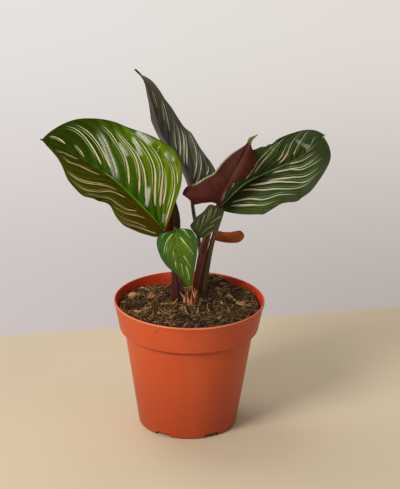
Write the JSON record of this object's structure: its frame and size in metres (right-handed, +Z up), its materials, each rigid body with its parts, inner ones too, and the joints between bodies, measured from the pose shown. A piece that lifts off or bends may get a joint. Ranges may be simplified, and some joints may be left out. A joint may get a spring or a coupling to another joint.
{
  "type": "potted calathea",
  "caption": "Small pin-stripe calathea with eight leaves in a 12 cm terracotta-coloured plastic nursery pot.",
  "frame": {"origin": "middle of the pot's flat underside, on the surface it stands on", "axes": "+Z up, -Y the front that faces the camera in the picture, +X to the right"},
  "size_m": [0.2263, 0.1311, 0.2752],
  "materials": {
    "terracotta_plastic": "moulded, satin",
    "potting_mix": "loose, fibrous",
    "green_leaf": "glossy, pin-striped",
    "dark_leaf": "satin, pin-striped",
    "red_leaf": "satin burgundy underside",
    "red_stalk": "satin",
    "olive_stalk": "satin",
    "bark": "rough",
    "dry_straw": "dry, papery"
  },
  "bodies": {
    "root": {"pot": "terracotta_plastic", "potting_soil": "potting_mix", "left_leaf": "green_leaf", "front_leaf": "green_leaf", "back_leaf": "dark_leaf", "right_leaf": "dark_leaf", "small_leaf": "dark_leaf", "middle_leaf": "red_leaf", "young_leaf": "red_leaf", "side_leaf": "red_leaf", "left_leaf_stalk": "red_stalk", "front_leaf_stalk": "red_stalk", "young_leaf_stalk": "red_stalk", "back_leaf_stalk": "red_stalk", "middle_leaf_stalk": "red_stalk", "small_leaf_stalk": "red_stalk", "side_leaf_stalk": "red_stalk", "right_leaf_stalk": "olive_stalk", "dry_sheath": "dry_straw", "round_bark_chip": "bark", "pink_bark_chip": "bark", "middle_bark_chip": "bark", "front_bark_chip": "bark", "dark_bark_chip": "bark", "back_bark_chip": "bark", "pale_chip": "dry_straw", "pale_flake": "dry_straw", "perlite_right": "dry_straw", "perlite_front": "dry_straw", "pale_twig": "dry_straw", "root_tuft": "dry_straw", "left_husk": "dry_straw", "right_twig": "dry_straw", "green_husk": "dry_straw", "long_straw": "dry_straw"}
  },
  "joints": []
}
